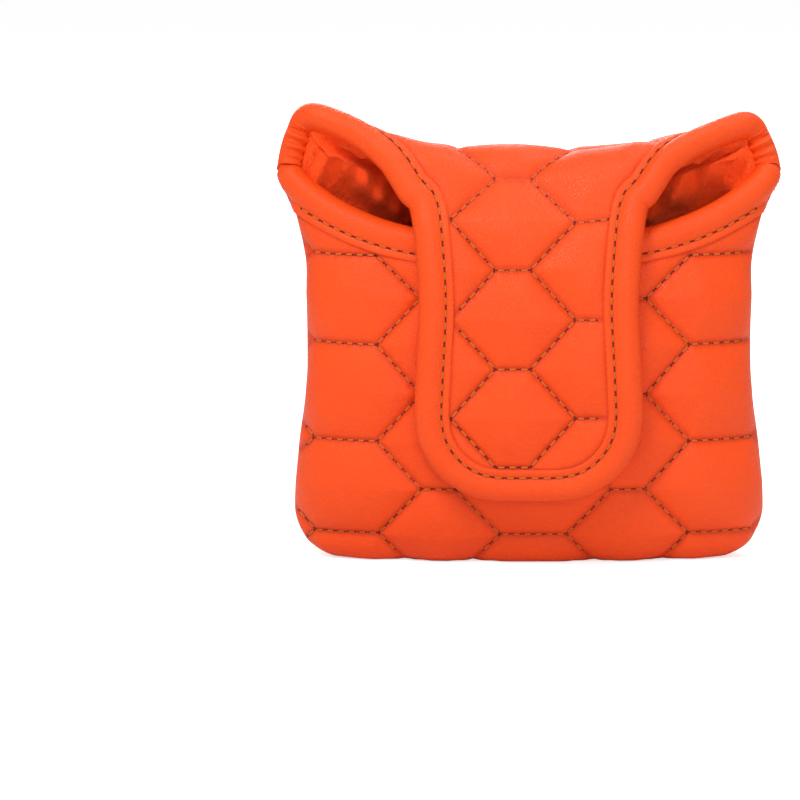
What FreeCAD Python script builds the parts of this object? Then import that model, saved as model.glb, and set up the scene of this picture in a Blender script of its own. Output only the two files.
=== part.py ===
"""Quilted cover for a mallet putter head: a padded pouch with two pointed ears and a flap.

Frame, in millimetres: +Z is up, the pouch stands on its flattened bottom seam at Z = 0, X runs
from ear to ear, the plain quilted face looks along +Y, and the flap closes over the -Y face.

Each panel is a sandwich of outer leather, foam and fleece. The plain panel runs up into a
hood, which bends over the mouth, and on into the flap, which hangs down the back. A rolled
binding covers the raw edge of every panel, and magnets sewn into sleeves hold the flap shut.
"""

import math
import os

import FreeCAD
import Part

Vec = FreeCAD.Vector

# ---- Driving dimensions ----------------------------------------------------------------

LEATHER = 1.0            # outer skin
FOAM = 2.6               # quilted padding
FLEECE = 1.4             # lining
SANDWICH = LEATHER + FOAM + FLEECE

WAIST_HALF_WIDTH = 61.5  # pouch, half-way up
BASE_HALF_WIDTH = 65.5   # pouch, just above its bottom corners
EAR_HALF_WIDTH = 68.5    # pouch, at the ear tips
FRONT_DEPTH = 25.0       # bulge of the plain face from the side seams
BACK_DEPTH = 20.5        # bulge of the face under the flap
FOOT_HALF_WIDTH = 47.0   # flat patch that the pouch stands on

HOOD_RADIUS = 13.0       # bend of the hood, on its leather
HOOD_TOP = 115.3         # top of the hood midway between the ears
HOOD_START_ANGLE = 70.0  # degrees before the top where the plain panel passes into the hood
HOOD_END_ANGLE = 62.0    # degrees past the top where the hood ends and the flap starts
HOOD_HALF_WIDTH = 42.0   # where the hood meets the ears

EAR_TIP_HEIGHT = 109.0   # where a side seam ends, at the binding's centre
EAR_TOP_HEIGHT = 123.0
LIP_HEIGHT = 88.5        # back lip midway between the ears

ROLL_RADIUS = 3.4        # rolled binding
BINDING_LEATHER = 1.0

FLAP_HALF_WIDTH = 27.0   # to the binding's centre
FLAP_BOTTOM = 23.2       # height of the binding's centre at the flap's bottom
FLAP_CORNER = 20.0       # corner radius there
FLAP_GAP = 1.0           # between the back panel and the lining of the closed flap

MAGNET_RADIUS = 6.0
MAGNET_THICKNESS = 1.2
MAGNET_SPACING = 20.0    # between the two magnets of a set
MAGNET_HEIGHT = 40.0
SLEEVE_MARGIN = 2.0      # sleeve cloth round each magnet
SLEEVE_CLOTH = 0.3

QUILT_PERIOD = 26.8      # height of a quilt cell
QUILT_NARROW = 4.7       # half length of the short level seams
QUILT_WIDE = 9.1         # half length of the long level seams
QUILT_SLANT = 12.2       # width that a slanting seam takes up
QUILT_SHIFT = -4.3       # X of a column of short seams
QUILT_FIRST = 1.6        # height of the lowest short seam
BACK_QUILT_SHIFT = 27.2  # the same two for the back panel
BACK_QUILT_FIRST = -5.2
THREAD_RADIUS = 0.4
STITCH_PITCH = 4.4
STITCH_GAP = 0.12        # share of a stitch left open at each end
FOOT_EDGE = 6.0          # quilting starts above the foot's rounded edge
SEAM_MARGIN = 3.0        # thread stops this far inside a panel's edge

# ---- Shape of the pouch ----------------------------------------------------------------

SECTION_POWER = 2.5      # 2 is an ellipse; more is squarer

# Each main level: height, half width, depth as a share of the full depth. The lowest is the foot.
MAIN_LEVELS = [
    (0.0, FOOT_HALF_WIDTH, 0.40),
    (1.2, FOOT_HALF_WIDTH + 9.0, 0.50),
    (5.0, BASE_HALF_WIDTH - 3.0, 0.62),
    (14.0, BASE_HALF_WIDTH, 0.80),
    (30.0, BASE_HALF_WIDTH - 1.2, 0.95),
    (54.0, WAIST_HALF_WIDTH, 1.00),
    (80.0, WAIST_HALF_WIDTH, 0.84),
    (95.0, WAIST_HALF_WIDTH + 2.5, 0.65),
    (109.0, EAR_HALF_WIDTH, 0.47),
    (126.0, EAR_HALF_WIDTH - 2.0, 0.50),
]


def slope_at(levels, i, column):
    """Slope of a column at a level: the harmonic mean of its neighbours', 0 at a turn."""
    if i in (0, len(levels) - 1):
        i = 1 if i == 0 else i
        return (levels[i][column] - levels[i - 1][column]) / (levels[i][0] - levels[i - 1][0])
    below = (levels[i][column] - levels[i - 1][column]) / (levels[i][0] - levels[i - 1][0])
    above = (levels[i + 1][column] - levels[i][column]) / (levels[i + 1][0] - levels[i][0])
    return 2 * below * above / (below + above) if below * above > 0 else 0.0


def smooth_levels(levels, parts):
    """The levels with smooth in-between ones, parts to each step."""
    fine = [levels[0]]
    for i in range(len(levels) - 1):
        lower, upper = levels[i], levels[i + 1]
        rise = upper[0] - lower[0]
        for k in range(1, parts + 1):
            t = k / parts
            level = [lower[0] + rise * t]
            for column in (1, 2):
                level.append(
                    lower[column] * (1 + 2 * t) * (1 - t) ** 2
                    + slope_at(levels, i, column) * rise * t * (1 - t) ** 2
                    + upper[column] * (3 - 2 * t) * t ** 2
                    - slope_at(levels, i + 1, column) * rise * (1 - t) * t ** 2)
            fine.append(tuple(level))
    return fine


LEVELS = smooth_levels(MAIN_LEVELS, 2)
PANEL_TOP = LEVELS[-1][0]
REACH = 90.0             # further out than any piece, for cutting shapes


def half_section(width, depth, z):
    """One face of the pouch at a height: a superellipse from ear to ear, seams at Y = 0."""
    points = []
    steps = 16
    for i in range(steps + 1):
        angle = math.pi * i / steps
        c, s = math.cos(angle), math.sin(angle)
        x = width * math.copysign(abs(c) ** (2 / SECTION_POWER), c)
        points.append(Vec(x, depth * s ** (2 / SECTION_POWER), z))
    curve = Part.BSplineCurve()
    curve.interpolate(points)
    return curve.toShape()


def pouch_half(side, inset):
    """Solid half of the pouch towards +Y (side 1) or -Y (side -1), shrunk by inset all round."""
    full = FRONT_DEPTH if side > 0 else BACK_DEPTH
    wires = []
    for z, width, share in LEVELS:
        depth = full * share - inset
        level = inset + z * (PANEL_TOP - inset) / PANEL_TOP
        face_edge = half_section(width - inset, side * depth, level)
        ends = [v.Point for v in face_edge.Vertexes]
        wires.append(Part.Wire([face_edge, Part.makeLine(ends[-1], ends[0])]))
    return Part.makeLoft(wires, True, True)


def depth_at(side, x, z, inset=0.0):
    """Y of a pouch face, from the same levels, in straight steps between them."""
    full = FRONT_DEPTH if side > 0 else BACK_DEPTH
    for (z0, w0, s0), (z1, w1, s1) in zip(LEVELS[:-1], LEVELS[1:]):
        if z <= z1:
            break
    t = max(0.0, min(1.0, (z - z0) / (z1 - z0)))
    width = w0 + (w1 - w0) * t - inset
    depth = full * (s0 + (s1 - s0) * t) - inset
    reach = max(0.0, 1 - min(1.0, abs(x) / width) ** SECTION_POWER)
    return side * depth * reach ** (1 / SECTION_POWER)


def prism(outline, low, high):
    """A closed outline of (x, z) points, straight between them, extruded from Y low to high."""
    points = [Vec(x, low, z) for x, z in outline]
    face = Part.Face(Part.makePolygon(points + points[:1]))
    return face.extrude(Vec(0, high - low, 0))


def mirrored(points):
    """The same points on the -X side, in reverse order."""
    return [Vec(-p.x, p.y, p.z) for p in reversed(points)]


# ---- Binding: centre lines and tubes ---------------------------------------------------

def lip_height(x):
    """The back lip dips between the ears, as a cubic of the distance from the middle."""
    rise = EAR_TIP_HEIGHT - 2.0 - LIP_HEIGHT
    return LIP_HEIGHT + rise * (abs(x) / EAR_HALF_WIDTH) ** 3


def panel_point(side, x, z):
    """A point midway through the thickness of a pouch panel."""
    return Vec(x, depth_at(side, x, z, SANDWICH / 2), z)


EAR_EDGE = [
    (EAR_HALF_WIDTH - 2.9, EAR_TIP_HEIGHT + 2.6),
    (EAR_HALF_WIDTH - 4.0, EAR_TIP_HEIGHT + 8.2),
    (EAR_HALF_WIDTH - 6.6, EAR_TOP_HEIGHT - 2.0),
    (EAR_HALF_WIDTH - 11.0, EAR_TOP_HEIGHT),
    (EAR_HALF_WIDTH - 17.0, EAR_TOP_HEIGHT - 2.2),
    (EAR_HALF_WIDTH - 22.5, EAR_TOP_HEIGHT - 6.2),
]
# Ear and lip bindings both run past the side seam, where build() trims them to meet.
TIP = Vec(EAR_HALF_WIDTH - 2.6, 0, EAR_TIP_HEIGHT - 0.6)
EAR_LINE = [TIP + Vec(0.4, -4, -3)] + [panel_point(1, x, z) for x, z in EAR_EDGE]
LIP_HALF = [TIP + Vec(0.4, 4, 1.5), TIP + Vec(-1.5, -3.0, -2.2)]
LIP_HALF += [panel_point(-1, x, lip_height(x)) for x in (57.0, 44.0, 30.0, 15.0)]
LIP_LINE = LIP_HALF + [panel_point(-1, 0.0, LIP_HEIGHT)] + mirrored(LIP_HALF)


def tube_path(points):
    """Straight runs joined by tangent arcs that start 0.45 of the shorter run from each point."""
    edges, last = [], points[0]
    for before, corner, after in zip(points[:-2], points[1:-1], points[2:]):
        into, out = corner - before, after - corner
        cut = 0.45 * min(into.Length, out.Length)
        turn = into.getAngle(out)
        into.normalize()
        out.normalize()
        start, end = corner - into * cut, corner + out * cut
        radius = cut / math.tan(turn / 2)
        inward = (out - into).normalize()
        centre = corner + inward * (radius / math.cos(turn / 2))
        middle = centre - inward * radius
        edges.append(Part.makeLine(last, start))
        edges.append(Part.Arc(start, middle, end).toShape())
        last = end
    edges.append(Part.makeLine(last, points[-1]))
    return Part.Wire(edges)


def tube(points, outer, inner=0.0):
    """A round rod along the points, or a sleeve if inner is given."""
    path = tube_path(points)
    start, along = points[0], points[1] - points[0]

    def swept(radius):
        ring = Part.Wire(Part.makeCircle(radius, start, along))
        shell = Part.BRepOffsetAPI.MakePipeShell(path)
        shell.add(ring)
        shell.setTransitionMode(1)
        shell.build()
        shell.makeSolid()
        return shell.shape()

    rod = swept(outer)
    return rod.cut(swept(inner)) if inner else rod


# ---- Flap and hood: one band seen from the side ----------------------------------------

HOOD_CENTRE = HOOD_TOP - HOOD_RADIUS
START = math.radians(HOOD_START_ANGLE)
END = math.radians(HOOD_END_ANGLE)
HOOD_START = HOOD_CENTRE + HOOD_RADIUS * math.cos(START)
HOOD_END = HOOD_CENTRE + HOOD_RADIUS * math.cos(END)
HOOD_END_DEPTH = -HOOD_RADIUS * math.sin(END)


def on_hood(radius, angle):
    """A point of the hood's bend in the YZ plane; the angle runs from the top towards +Y."""
    return Vec(0, radius * math.sin(angle), HOOD_CENTRE + radius * math.cos(angle))


def hood_layer(near, far, plan):
    """One layer of the hood: a bent band between two radii, cut to its outline from above."""
    arcs = []
    for inset in (near, far):
        radius = HOOD_RADIUS - inset
        ends = on_hood(radius, START), on_hood(radius, (START - END) / 2), on_hood(radius, -END)
        arcs.append((Part.Arc(*ends).toShape(), ends[0], ends[2]))
    (outer, outer_start, outer_end), (inner, inner_start, inner_end) = arcs
    wire = Part.Wire([
        outer,
        Part.makeLine(outer_end, inner_end),
        inner.reversed(),
        Part.makeLine(inner_start, outer_start),
    ])
    face = Part.Face(wire)
    face.translate(Vec(-HOOD_HALF_WIDTH, 0, 0))
    return face.extrude(Vec(2 * HOOD_HALF_WIDTH, 0, 0)).common(plan)


def flap_depth(z):
    """Y of the closed flap's leather: a fixed gap off the back panel."""
    return depth_at(-1, 0, z) - FLAP_GAP - SANDWICH


# From the hood's end down the flap, as (y, z) of the leather.
FLAP_PROFILE = [
    (HOOD_END_DEPTH, HOOD_END),
    (HOOD_END_DEPTH - 5.2, HOOD_END - 5.6),
    (flap_depth(LIP_HEIGHT) - 2.0, LIP_HEIGHT + 2.5),
    (flap_depth(72) - 1.6, 72.0),
    (flap_depth(54) - 0.3, 54.0),
    (flap_depth(38) - 0.5, 38.0),
    (flap_depth(30) - 1.1, 30.0),
    (flap_depth(25) - 1.6, FLAP_BOTTOM),
]


def profile_curve(points, inset):
    """A smooth curve in the YZ plane through the points, moved towards +Y by inset."""
    moved = []
    for i, (y, z) in enumerate(points):
        (ya, za), (yb, zb) = points[max(i - 1, 0)], points[min(i + 1, len(points) - 1)]
        if i == 0:
            normal = (math.sin(END), -math.cos(END))
        else:
            long = math.hypot(yb - ya, zb - za)
            normal = ((za - zb) / long, (yb - ya) / long)
        moved.append(Vec(0, y + normal[0] * inset, z + normal[1] * inset))
    curve = Part.BSplineCurve()
    curve.interpolate(moved)
    return curve.toShape(), moved


def flap_layer(near, far, outline):
    """One layer of the flap between two insets from its leather, cut to an outline."""
    a, pa = profile_curve(FLAP_PROFILE, near)
    b, pb = profile_curve(FLAP_PROFILE, far)
    wire = Part.Wire([
        a,
        Part.makeLine(pa[-1], pb[-1]),
        b.reversed(),
        Part.makeLine(pb[0], pa[0]),
    ])
    face = Part.Face(wire)
    face.translate(Vec(-HOOD_HALF_WIDTH, 0, 0))
    return face.extrude(Vec(2 * HOOD_HALF_WIDTH, 0, 0)).common(outline)


FLAP_CURVE = profile_curve(FLAP_PROFILE, 0.0)[0].discretize(120)


def flap_point(x, z, inset):
    """A point of the flap at a height, inset towards +Y from its leather."""
    for upper, lower in zip(FLAP_CURVE[:-1], FLAP_CURVE[1:]):
        if z >= lower.z:
            break
    share = (z - upper.z) / (lower.z - upper.z)
    return Vec(x, upper.y + (lower.y - upper.y) * share + inset, z)


# Half of the flap's binding line, from the hood down: (x, z), then a round corner.
FLAP_SIDE = [
    (FLAP_HALF_WIDTH + 3.6, HOOD_END),
    (FLAP_HALF_WIDTH + 1.2, HOOD_END - 7.5),
    (FLAP_HALF_WIDTH - 0.6, 90.0),
    (FLAP_HALF_WIDTH - 0.8, 72.0),
    (FLAP_HALF_WIDTH, 54.0),
    (FLAP_HALF_WIDTH + 0.3, FLAP_BOTTOM + FLAP_CORNER),
]


def flap_edge():
    """The flap's binding line seen along Y, as (x, z), from one end of the hood to the other."""
    steps = 5
    corner = []
    for i in range(1, steps):
        angle = -math.pi / 2 * i / steps
        corner.append((
            FLAP_HALF_WIDTH - FLAP_CORNER + FLAP_CORNER * math.cos(angle),
            FLAP_BOTTOM + FLAP_CORNER + FLAP_CORNER * math.sin(angle),
        ))
    half = FLAP_SIDE + corner
    return half + [(0.0, FLAP_BOTTOM)] + [(-x, z) for x, z in reversed(half)]


def flap_line():
    """The flap's binding line in space, from one end of the hood to the other."""
    middle = SANDWICH / 2
    ends = [on_hood(HOOD_RADIUS - middle, -END) + Vec(FLAP_SIDE[0][0], 0, 0)]
    return ends + [flap_point(x, z, middle) for x, z in flap_edge()[1:-1]] + mirrored(ends)


def hood_line():
    """The hood's binding line on the +X side, from the ear to the flap."""
    line = [EAR_LINE[-1]]
    for x, angle in ((HOOD_HALF_WIDTH - 1.5, 36.0), (HOOD_HALF_WIDTH - 6.0, -4.0),
                     (FLAP_HALF_WIDTH + 6.2, -38.0), (FLAP_SIDE[0][0], -HOOD_END_ANGLE)):
        line.append(on_hood(HOOD_RADIUS - SANDWICH / 2, math.radians(angle)) + Vec(x, 0, 0))
    return line


# ---- Sewing ----------------------------------------------------------------------------

def quilt_seams(shift, first, low, high):
    """Seams of a quilt of six-sided cells as ((x, z), (x, z)), between two heights."""
    column = QUILT_NARROW + QUILT_SLANT + QUILT_WIDE
    seams = []
    for k in range(-2, 3):
        narrow = shift + 2 * column * k
        for j in range(-1, 6):
            z = first + QUILT_PERIOD * j
            seams.append(((narrow - QUILT_NARROW, z), (narrow + QUILT_NARROW, z)))
            wide, up = narrow + column, z + QUILT_PERIOD / 2
            seams.append(((wide - QUILT_WIDE, up), (wide + QUILT_WIDE, up)))
            for end in (up, up - QUILT_PERIOD):
                for way in (1, -1):
                    inner = narrow + way * QUILT_NARROW
                    seams.append(((inner, z), (inner + way * QUILT_SLANT, end)))
    return [s for s in seams if all(low < z < high for _, z in s)]


def stitches_along(points, pitch):
    """Pairs of ends of equal stitches along straight lines in (x, z), with gaps between."""
    pairs = []
    for (xa, za), (xb, zb) in zip(points[:-1], points[1:]):
        count = max(1, round(math.hypot(xb - xa, zb - za) / pitch))
        for i in range(count):
            s, e = (i + STITCH_GAP) / count, (i + 1 - STITCH_GAP) / count
            pairs.append(((xa + (xb - xa) * s, za + (zb - za) * s),
                          (xa + (xb - xa) * e, za + (zb - za) * e)))
    return pairs


def thread(skin, lines, inside):
    """Stitches half sunk in a panel's outside, wherever both of a stitch's ends are inside."""
    solids = []
    for line in lines:
        for a, b in stitches_along(line, STITCH_PITCH):
            if inside(*a) and inside(*b):
                start, end = skin(*a), skin(*b)
                along = end - start
                solids.append(Part.makeCylinder(THREAD_RADIUS, along.Length, start, along))
    return Part.makeCompound(solids)


def inset_outline(points, distance):
    """An open (x, z) line moved to its right by a distance."""
    moved = []
    for i, (x, z) in enumerate(points):
        (xa, za), (xb, zb) = points[max(i - 1, 0)], points[min(i + 1, len(points) - 1)]
        long = math.hypot(xb - xa, zb - za)
        moved.append((x + (zb - za) / long * distance, z - (xb - xa) / long * distance))
    return moved


# ---- Magnets ---------------------------------------------------------------------------

def magnets(depth):
    """Discs and sleeves lying along a panel, depth being its middle's Y: (left, right)."""
    above, below = depth(MAGNET_HEIGHT + MAGNET_RADIUS), depth(MAGNET_HEIGHT - MAGNET_RADIUS)
    lie = Vec(0, 2 * MAGNET_RADIUS, below - above).normalize()
    made = []
    for x in (-MAGNET_SPACING / 2, MAGNET_SPACING / 2):
        centre = Vec(x, (above + below) / 2, MAGNET_HEIGHT)
        thick = MAGNET_THICKNESS + 2 * SLEEVE_CLOTH
        disc = Part.makeCylinder(
            MAGNET_RADIUS, MAGNET_THICKNESS, centre - lie * (MAGNET_THICKNESS / 2), lie)
        sleeve = Part.makeCylinder(
            MAGNET_RADIUS + SLEEVE_MARGIN, thick, centre - lie * (thick / 2), lie)
        made.append((disc, sleeve))
    return made


# ---- The pieces ------------------------------------------------------------------------

LAYERS = {
    "shell": (0.0, LEATHER),
    "padding": (LEATHER, LEATHER + FOAM),
    "lining": (LEATHER + FOAM, SANDWICH),
}


def front_outline():
    """The plain panel from behind: up to the hood in the middle, up the ears at the sides."""
    half = [(REACH, EAR_TIP_HEIGHT)] + EAR_EDGE
    half += [(HOOD_HALF_WIDTH, EAR_EDGE[-1][1] - 1.0), (HOOD_HALF_WIDTH, HOOD_START)]
    return [(REACH, -1.0)] + half + [(-x, z) for x, z in reversed(half)] + [(-REACH, -1.0)]


def back_outline():
    """The back panel: up to the lip."""
    steps = 24
    top = []
    for i in range(steps + 1):
        x = EAR_HALF_WIDTH * (1 - 2 * i / steps)
        top.append((x, lip_height(x)))
    return [(REACH, -1.0), (REACH, top[0][1])] + top + [(-REACH, top[0][1]), (-REACH, -1.0)]


def hood_plan(line):
    """A block whose sides follow the hood's binding line, seen from above."""
    side = [(HOOD_HALF_WIDTH, HOOD_RADIUS + 1.0)]
    side += [(min(p.x, HOOD_HALF_WIDTH), p.y) for p in line[1:]]
    side.append((line[-1].x - 1.0, -HOOD_RADIUS - 1.0))
    outline = side + [(-x, y) for x, y in reversed(side)]
    points = [Vec(x, y, 0) for x, y in outline]
    return Part.Face(Part.makePolygon(points + points[:1])).extrude(Vec(0, 0, 2 * HOOD_TOP))


def past_hood_start():
    """A block on the hood's side of the plane where the plain panel passes into the hood."""
    far = 2 * HOOD_TOP
    corners = [Vec(-HOOD_HALF_WIDTH, 0, HOOD_CENTRE)]
    for y, z in ((math.sin(START), math.cos(START)), (1, 1), (-1, 1), (-1, 0)):
        corners.append(corners[0] + Vec(0, far * y, far * z))
    face = Part.Face(Part.makePolygon(corners + corners[:1]))
    return face.extrude(Vec(2 * HOOD_HALF_WIDTH, 0, 0))


def biggest(shape):
    """The largest solid of a shape: drops crumbs that a cut leaves."""
    return max(shape.Solids, key=lambda solid: solid.Volume)


def bindings():
    """Rolled bindings and their filler cords: (nodes, whole rolls by name)."""
    flap, hood = flap_line(), hood_line()
    lines = {
        "flap": flap,
        "ear_right": EAR_LINE,
        "ear_left": mirrored(EAR_LINE),
        "back_lip": LIP_LINE,
        "hood_right": hood,
        "hood_left": mirrored(hood),
    }
    beyond_seam = {
        1: Part.makeBox(2 * REACH, REACH, 2 * REACH, Vec(-REACH, 0, 0)),
        -1: Part.makeBox(2 * REACH, REACH, 2 * REACH, Vec(-REACH, -REACH, 0)),
    }
    nodes, rolls = {}, {}
    for name, line in lines.items():
        roll, filler = tube(line, ROLL_RADIUS), tube(line, ROLL_RADIUS - BINDING_LEATHER)
        if name.startswith("hood"):
            side = name.split("_")[1]
            ends = [rolls["flap"], rolls[f"ear_{side}"]]
        else:
            ends = {"flap": [], "back": [beyond_seam[1]]}.get(name.split("_")[0], [beyond_seam[-1]])
        if ends:
            roll, filler = roll.cut(ends), filler.cut(ends)
        rolls[name] = roll
        nodes[f"{name}_binding"] = biggest(roll.cut(filler))
        nodes[f"{name}_filler"] = biggest(filler)
    return nodes, rolls, hood


def build():
    """Every node of the cover as {name: shape}."""
    nodes, rolls, hood = bindings()
    front_cut = prism(front_outline(), -REACH, REACH)
    back_cut = prism(back_outline(), -REACH, REACH)
    flap_cut = prism(flap_edge(), -REACH, REACH)
    hood_cut = hood_plan(hood)
    ears = [rolls[n] for n in ("ear_right", "ear_left", "hood_right", "hood_left")]
    top = ears + [rolls["flap"]]
    hood_space = past_hood_start()
    halves = {
        (side, inset): pouch_half(side, inset)
        for side in (1, -1) for inset in sorted({v for pair in LAYERS.values() for v in pair})
    }
    for layer, (near, far) in LAYERS.items():
        front = halves[1, near].cut(halves[1, far]).common(front_cut)
        back = halves[-1, near].cut(halves[-1, far]).common(back_cut)
        nodes[f"front_{layer}"] = biggest(front.cut(ears + [hood_space]))
        nodes[f"back_{layer}"] = biggest(back.cut(rolls["back_lip"]))
        nodes[f"hood_{layer}"] = biggest(hood_layer(near, far, hood_cut).cut(top))
        nodes[f"flap_{layer}"] = biggest(flap_layer(near, far, flap_cut).cut(top))

    middle = LEATHER + FOAM / 2
    sets = {
        "flap": lambda z: flap_point(0, z, middle).y,
        "back": lambda z: depth_at(-1, MAGNET_SPACING / 2, z, middle),
    }
    for place, depth in sets.items():
        pairs = magnets(depth)
        for layer in LAYERS:
            name = f"{place}_{layer}"
            nodes[name] = biggest(nodes[name].cut([sleeve for _, sleeve in pairs]))
        for side, (disc, sleeve) in zip(("left", "right"), pairs):
            nodes[f"{place}_magnet_{side}"] = disc
            nodes[f"{place}_magnet_sleeve_{side}"] = sleeve.cut(disc)

    sew(nodes)
    return nodes


def sew(nodes):
    """Adds the threads: quilting, the bindings' seams and the side seam."""
    skins = {
        "front": lambda x, z: Vec(x, depth_at(1, x, z), z),
        "back": lambda x, z: Vec(x, depth_at(-1, x, z), z),
        "flap": lambda x, z: flap_point(x, z, 0.0),
        "hood": lambda x, z: on_hood(HOOD_RADIUS, START - (z - HOOD_START) / HOOD_RADIUS)
        + Vec(x, 0, 0),
    }
    quilts = {
        "front": quilt_seams(QUILT_SHIFT, QUILT_FIRST, FOOT_EDGE, HOOD_START + 12),
        "back": quilt_seams(BACK_QUILT_SHIFT, BACK_QUILT_FIRST, FOOT_EDGE, PANEL_TOP),
        "flap": quilt_seams(QUILT_SHIFT, QUILT_FIRST, 0, HOOD_END + 12),
        "hood": quilt_seams(QUILT_SHIFT, QUILT_FIRST, HOOD_START - 15, HOOD_START + 45),
    }
    seam_inset = ROLL_RADIUS + THREAD_RADIUS
    hood_length = HOOD_RADIUS * (START + END)
    flap_seam = inset_outline(flap_edge(), seam_inset)
    ear_seam = inset_outline(EAR_EDGE, -seam_inset)
    lip_seam = [(x, lip_height(x) - seam_inset) for x in range(-60, 61, 4)]
    limits = {
        "front": lambda x, z: abs(x) < WAIST_HALF_WIDTH - SEAM_MARGIN and z > FOOT_EDGE
        and z < (HOOD_START - SEAM_MARGIN if abs(x) < HOOD_HALF_WIDTH + SEAM_MARGIN
                 else EAR_TIP_HEIGHT - SEAM_MARGIN),
        "back": lambda x, z: abs(x) < WAIST_HALF_WIDTH - SEAM_MARGIN
        and FOOT_EDGE < z < lip_height(x) - seam_inset - SEAM_MARGIN,
        "flap": lambda x, z: FLAP_BOTTOM + seam_inset + SEAM_MARGIN < z < HOOD_END - 1.0
        and abs(x) < FLAP_HALF_WIDTH - seam_inset - SEAM_MARGIN,
        "hood": lambda x, z: 0.5 < z - HOOD_START < hood_length - 0.5
        and abs(x) < HOOD_HALF_WIDTH - (z - HOOD_START) / hood_length
        * (HOOD_HALF_WIDTH - FLAP_SIDE[0][0]) - seam_inset - SEAM_MARGIN,
    }
    for place, seams in quilts.items():
        nodes[f"{place}_quilting_thread"] = thread(skins[place], seams, limits[place])

    def anywhere(x, z):
        return True

    ears = [ear_seam[1:-1], [(-x, z) for x, z in ear_seam[1:-1]]]
    nodes["flap_binding_thread"] = thread(skins["flap"], [flap_seam[1:-1]], anywhere)
    nodes["back_lip_binding_thread"] = thread(skins["back"], [lip_seam], anywhere)
    nodes["ear_binding_thread"] = thread(skins["front"], ears, anywhere)
    nodes["side_seam_thread"] = side_seam()


def side_seam():
    """Stitches through both panels down each side, just inside the leather."""
    solids = []
    z = LEVELS[2][0] + 2 * STITCH_PITCH
    while z < lip_height(EAR_HALF_WIDTH) - 3 * STITCH_PITCH:
        x = edge_at(z) - LEATHER - FOAM / 2
        for way in (x, -x):
            start = Vec(way, -SEAM_MARGIN, z)
            solids.append(Part.makeCylinder(THREAD_RADIUS, 2 * SEAM_MARGIN, start, Vec(0, 1, 0)))
        z += STITCH_PITCH
    return Part.makeCompound(solids)


def edge_at(z):
    """Half width of the pouch at a height."""
    for (z0, w0, _), (z1, w1, _) in zip(LEVELS[:-1], LEVELS[1:]):
        if z <= z1:
            return w0 + (w1 - w0) * (z - z0) / (z1 - z0)
    return LEVELS[-1][1]


os.makedirs("parts", exist_ok=True)
for name, shape in build().items():
    solids = shape.Solids
    whole = solids[0] if len(solids) == 1 else Part.makeCompound(solids)
    whole.exportStep(f"parts/{name}.step")
    print(f"{name}: {len(solids)} solids, {whole.Volume:.0f} mm3, valid {whole.isValid()}")
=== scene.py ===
# %% [markdown]
# # A quilted cover for a mallet putter
#
# The cover is a padded pouch with two pointed ears. Its plain quilted panel runs up into a hood,
# bends over the mouth and hangs down the other side as a flap. Every panel is a sandwich of
# leather, foam and fleece, and a rolled binding covers each raw edge.
#
# The pieces here are surfaces worked out with numpy. Lengths are in millimetres until the last
# step, where `add_mesh` turns them into Blender's metres.

# %% Load the frame
import math

import bpy
import numpy as np
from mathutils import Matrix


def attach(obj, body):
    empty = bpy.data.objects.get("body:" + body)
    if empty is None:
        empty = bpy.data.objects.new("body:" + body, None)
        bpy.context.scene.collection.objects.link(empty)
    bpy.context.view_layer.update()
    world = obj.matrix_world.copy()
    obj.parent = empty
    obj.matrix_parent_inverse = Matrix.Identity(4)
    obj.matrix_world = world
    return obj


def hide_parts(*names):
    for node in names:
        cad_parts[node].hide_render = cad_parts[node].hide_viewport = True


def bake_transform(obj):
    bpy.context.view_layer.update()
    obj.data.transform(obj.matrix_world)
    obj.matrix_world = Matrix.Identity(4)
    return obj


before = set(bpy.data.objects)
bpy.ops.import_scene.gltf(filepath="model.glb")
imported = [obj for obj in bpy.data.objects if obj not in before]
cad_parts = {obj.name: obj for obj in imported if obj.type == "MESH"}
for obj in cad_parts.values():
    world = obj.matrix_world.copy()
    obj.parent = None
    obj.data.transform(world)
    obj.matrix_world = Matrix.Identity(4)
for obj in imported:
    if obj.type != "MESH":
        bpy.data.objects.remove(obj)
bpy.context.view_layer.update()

# %% [markdown]
# ## The outline of the pouch
#
# A sewn pouch has no simple geometric name, so its shape is given by a few heights: at each one,
# how wide the pouch is and how far its faces bulge. A smooth curve through these values gives
# every height between them. A spline that never overshoots is the safe choice, because an
# overshoot here would show as a dent in the side of the pouch.

# %% Smooth curves through a few values
LEATHER, FOAM, FLEECE = 1.0, 2.6, 1.4
SANDWICH = LEATHER + FOAM + FLEECE
FRONT_DEPTH, BACK_DEPTH = 25.0, 20.5
SECTION_POWER = 2.5

LEVELS = np.array([
    # height, half width, bulge as a share of the full depth
    (0.0, 47.0, 0.40),
    (1.2, 56.0, 0.50),
    (5.0, 62.5, 0.62),
    (14.0, 65.5, 0.80),
    (30.0, 64.3, 0.95),
    (54.0, 61.5, 1.00),
    (80.0, 61.5, 0.84),
    (95.0, 64.0, 0.65),
    (109.0, 68.5, 0.47),
    (126.0, 66.5, 0.50),
])


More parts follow.
